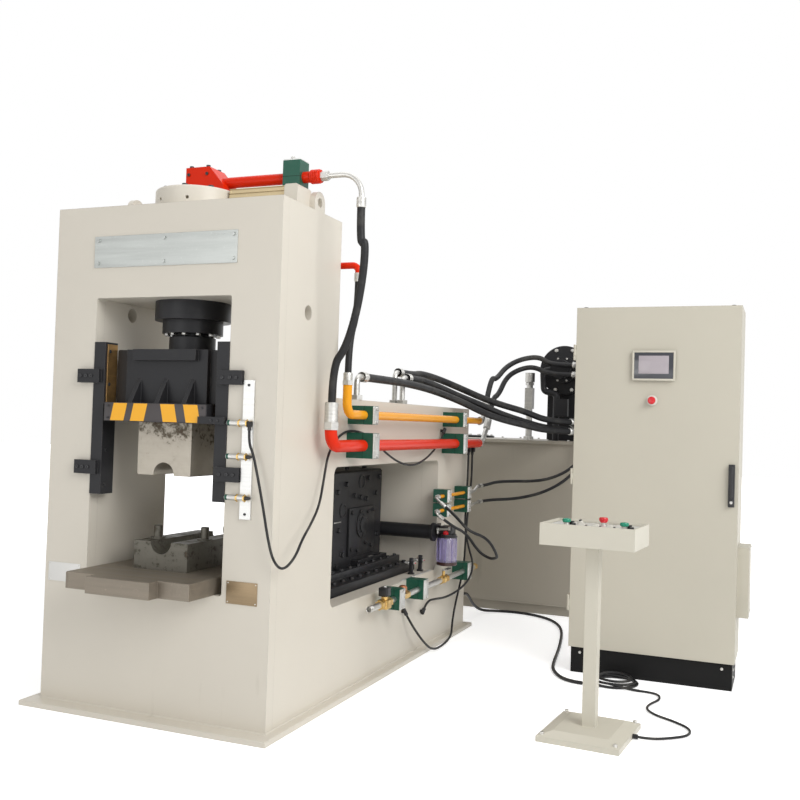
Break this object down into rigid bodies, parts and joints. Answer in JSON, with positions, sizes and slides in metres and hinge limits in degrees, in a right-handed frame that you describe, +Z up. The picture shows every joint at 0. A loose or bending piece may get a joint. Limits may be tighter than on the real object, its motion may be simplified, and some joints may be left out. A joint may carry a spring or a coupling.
{
  "type": "hydraulic upsetting press",
  "caption": "Open-front hydraulic upsetting press with a vertical clamping ram, a horizontal upsetting ram, power unit, control cabinet and button pedestal.",
  "frame": {"origin": "on the floor under the axis of the vertical ram, on the underside of the base plate", "axes": "+X to the right seen from the front, +Y from the front to the rear, +Z up"},
  "size_m": [3.202, 4.784, 2.633],
  "materials": {
    "cream": "satin",
    "dark": "satin",
    "die_steel": "worn",
    "bronze": "worn",
    "alu": "satin",
    "hose_rubber": "matte",
    "yellow_paint": "gloss",
    "red_paint": "gloss",
    "brass_part": "satin",
    "zinc": "satin",
    "clear_bowl": "gloss",
    "green_clamp": "satin",
    "tank_grey": "satin",
    "cab_grey": "satin",
    "plinth_black": "satin",
    "button_mix": "gloss"
  },
  "bodies": {
    "frame": {"base_plate": "cream", "right_side_plate": "cream", "left_side_plate": "cream", "front_plate": "cream", "crown": "cream", "bed": "cream", "rear_housing": "cream", "clamp_cylinder": "dark", "cap_ring": "cream", "lower_die": "die_steel", "table": "die_steel", "guide_rails": "dark", "bronze_strips": "bronze", "sensors": "alu", "upset_cylinder": "dark", "cable_coil": "hose_rubber", "cross_sleeve": "dark", "yellow_pipes": "yellow_paint", "red_pipes": "red_paint", "crown_manifold": "red_paint", "crown_channel": "brass_part", "hose_fittings": "zinc", "water_line": "brass_part", "lubricator": "clear_bowl", "sign_plates": "alu", "cable_glands": "dark", "valve_stack": "dark", "tank_fittings": "zinc", "pipe_clamps": "green_clamp", "tank_body": "tank_grey", "tank_lid": "tank_grey", "motor": "dark", "cabinet_body": "cab_grey", "cabinet_plinth": "plinth_black", "mounting_plate": "zinc", "pedestal_stand": "cream", "pedestal_box": "cream", "pedestal_buttons": "button_mix", "riser_hose": "hose_rubber", "yellow_riser_hose": "hose_rubber", "roof_hose_a": "hose_rubber", "roof_hose_b": "hose_rubber", "roof_hose_c": "hose_rubber", "arch_hose_d": "hose_rubber", "arch_hose_e": "hose_rubber", "feed_hose_upper": "hose_rubber", "feed_hose_lower": "hose_rubber", "loop_hose": "hose_rubber", "sensor_cable": "hose_rubber", "rear_cable_front": "hose_rubber", "rear_cable_floor": "hose_rubber", "floor_cable": "hose_rubber", "pedestal_cable": "hose_rubber"},
    "clamp_slide": {"clamp_ram": "dark", "slide": "dark", "upper_die": "die_steel"},
    "upset_slide": {"upset_block": "dark", "punch": "die_steel"},
    "door": {"cabinet_door": "cab_grey", "door_fittings": "zinc"}
  },
  "joints": [
    {"name": "clamp_stroke", "type": "slide", "parent": "frame", "child": "clamp_slide", "axis": [0, 0, -1], "range_m": [0, 0.3]},
    {"name": "upset_stroke", "type": "slide", "parent": "frame", "child": "upset_slide", "axis": [0, -1, 0], "range_m": [0, 0.35]},
    {"name": "door_swing", "type": "hinge", "parent": "frame", "child": "door", "pos_m": [1.549, 1.592, 1.13], "axis": [0, 0, -1], "range_deg": [0, 110]}
  ]
}
